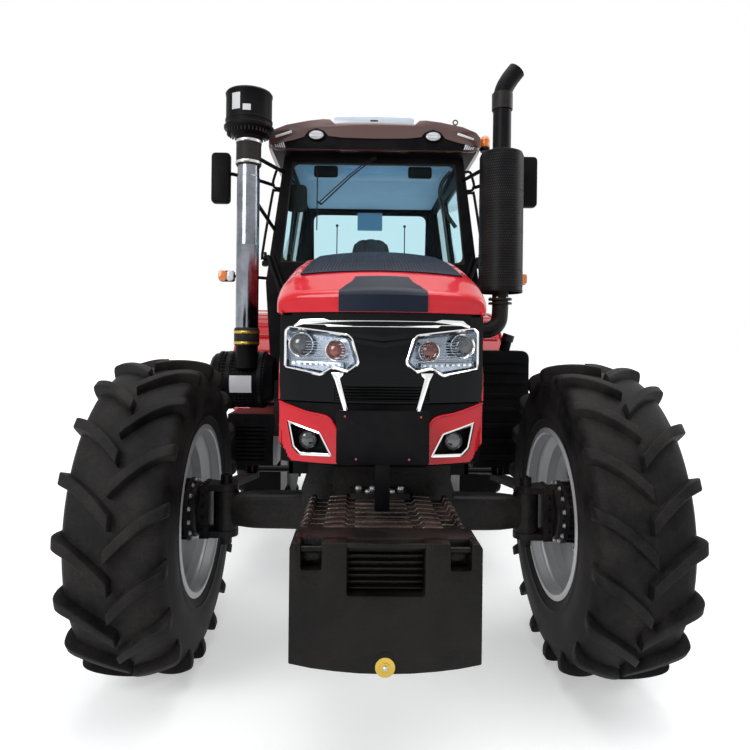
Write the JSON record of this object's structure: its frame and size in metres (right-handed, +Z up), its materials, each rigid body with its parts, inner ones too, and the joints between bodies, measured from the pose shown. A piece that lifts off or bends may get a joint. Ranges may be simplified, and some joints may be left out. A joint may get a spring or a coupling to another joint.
{
  "type": "farm tractor",
  "caption": "Four-wheel-drive farm tractor with an enclosed cab, lifting hood, steered driven front axle, stacked front weights and a rear three-point linkage.",
  "frame": {"origin": "centre of the footprint, on the ground", "axes": "+Z up, -Y the way the tractor drives, +X its left side"},
  "size_m": [2.462, 4.9799, 3.285],
  "materials": {
    "red_paint": "gloss",
    "black_paint": "satin",
    "cast_weight": "satin",
    "red_apron": "gloss",
    "black_plastic": "satin",
    "roof_brown": "gloss",
    "hatch_grey": "gloss",
    "rim_silver": "satin",
    "tyre": "matte",
    "glass": "clear",
    "chrome": "polished",
    "black_steel": "matte",
    "lamp_lens": "clear",
    "seat_cloth": "woven",
    "bright_steel": "machined"
  },
  "bodies": {
    "chassis": {"frame_rails": "black_paint", "engine_block": "black_paint", "transmission": "black_paint", "rear_axle": "black_paint", "front_axle": "black_paint", "steering_cylinder": "black_paint", "front_weights": "cast_weight", "plate_board": "black_paint", "front_apron": "red_apron", "side_panels": "black_plastic", "cab_frame": "black_paint", "cab_floor": "black_paint", "cab_glass": "glass", "cab_roof": "roof_brown", "dashboard": "black_plastic", "seat_base": "black_plastic", "seat_cushion": "seat_cloth", "seat_back": "seat_cloth", "fenders": "red_paint", "fuel_tank": "black_plastic", "battery_box": "black_paint", "air_cleaner": "black_plastic", "intake_pipe": "chrome", "pre_cleaner": "black_plastic", "exhaust_elbow": "black_steel", "muffler": "black_steel", "stays": "black_paint", "mirrors": "black_plastic", "lamps": "lamp_lens", "steps": "black_paint", "drawbar": "black_paint"},
    "hood": {"hood_shell": "red_paint", "grille": "black_plastic", "headlights": "lamp_lens"},
    "roof_hatch": {"roof_hatch": "hatch_grey"},
    "door_left": {"door_left": "black_paint", "door_glass_left": "glass"},
    "door_right": {"door_right": "black_paint", "door_glass_right": "glass"},
    "knuckle_left": {"knuckle_left": "black_paint"},
    "knuckle_right": {"knuckle_right": "black_paint"},
    "steering_rods": {"steering_rods": "bright_steel"},
    "front_wheel_left": {"front_rim_left": "rim_silver", "front_tyre_left": "tyre"},
    "front_wheel_right": {"front_rim_right": "rim_silver", "front_tyre_right": "tyre"},
    "rear_wheel_left": {"rear_rim_left": "rim_silver", "rear_tyre_left": "tyre"},
    "rear_wheel_right": {"rear_rim_right": "rim_silver", "rear_tyre_right": "tyre"},
    "steering_wheel": {"steering_wheel": "black_plastic"},
    "lift_arms": {"lift_arms": "black_paint"},
    "lift_rods": {"lift_rods": "black_paint"},
    "lower_links": {"lower_links": "black_paint"},
    "top_link": {"top_link": "bright_steel"}
  },
  "joints": [
    {"name": "hood_lift", "type": "hinge", "parent": "chassis", "child": "hood", "pos_m": [0, -0.175, 1.925], "axis": [-1, 0, 0], "range_deg": [0, 45]},
    {"name": "hatch_lift", "type": "hinge", "parent": "chassis", "child": "roof_hatch", "pos_m": [0, 0.69, 3.076], "axis": [-1, 0, 0], "range_deg": [0, 25]},
    {"name": "door_left_swing", "type": "hinge", "parent": "chassis", "child": "door_left", "pos_m": [0.77, 0.053, 1.4], "axis": [0, 0, -1], "range_deg": [0, 75]},
    {"name": "door_right_swing", "type": "hinge", "parent": "chassis", "child": "door_right", "pos_m": [-0.77, 0.053, 1.4], "axis": [0, 0, 1], "range_deg": [0, 75]},
    {"name": "steer_left", "type": "hinge", "parent": "chassis", "child": "knuckle_left", "pos_m": [0.72, -1.41, 0.7175], "axis": [0, 0, 1], "range_deg": [-30, 30]},
    {"name": "steer_right", "type": "hinge", "parent": "chassis", "child": "knuckle_right", "pos_m": [-0.72, -1.41, 0.7175], "axis": [0, 0, 1], "range_deg": [-30, 30]},
    {"name": "steer_rods", "type": "slide", "parent": "chassis", "child": "steering_rods", "axis": [1, 0, 0], "range_m": [-0.14, 0.14]},
    {"name": "front_left_spin", "type": "hinge", "parent": "knuckle_left", "child": "front_wheel_left", "pos_m": [1.016, -1.41, 0.7175], "axis": [1, 0, 0], "continuous": true},
    {"name": "front_right_spin", "type": "hinge", "parent": "knuckle_right", "child": "front_wheel_right", "pos_m": [-1.016, -1.41, 0.7175], "axis": [1, 0, 0], "continuous": true},
    {"name": "rear_left_spin", "type": "hinge", "parent": "chassis", "child": "rear_wheel_left", "pos_m": [0.9, 1.49, 0.8775], "axis": [1, 0, 0], "continuous": true},
    {"name": "rear_right_spin", "type": "hinge", "parent": "chassis", "child": "rear_wheel_right", "pos_m": [-0.9, 1.49, 0.8775], "axis": [1, 0, 0], "continuous": true},
    {"name": "steering_wheel_turn", "type": "hinge", "parent": "chassis", "child": "steering_wheel", "pos_m": [0, 0.39, 2.05], "axis": [0, 0.4695, 0.8829], "continuous": true},
    {"name": "lift", "type": "hinge", "parent": "chassis", "child": "lift_arms", "pos_m": [0, 1.785, 1.04], "axis": [1, 0, 0], "range_deg": [0, 38]},
    {"name": "lift_rod_swing", "type": "hinge", "parent": "lift_arms", "child": "lift_rods", "pos_m": [0, 2.155, 1.04], "axis": [1, 0, 0], "range_deg": [-38.5, 0.5]},
    {"name": "lower_link_lift", "type": "hinge", "parent": "chassis", "child": "lower_links", "pos_m": [0, 1.7, 0.6], "axis": [1, 0, 0], "range_deg": [0, 36]},
    {"name": "top_link_swing", "type": "hinge", "parent": "chassis", "child": "top_link", "pos_m": [0, 1.805, 0.93], "axis": [1, 0, 0], "range_deg": [-59, 21]}
  ],
  "couplings": [
    {"joint": "steer_right", "follows": "steer_left", "ratio": 1},
    {"joint": "steer_rods", "follows": "steer_left", "m_per_rad": -0.25},
    {"joint": "lift_rod_swing", "follows": "lift", "ratio": -1},
    {"joint": "lower_link_lift", "follows": "lift", "ratio": 0.93}
  ]
}
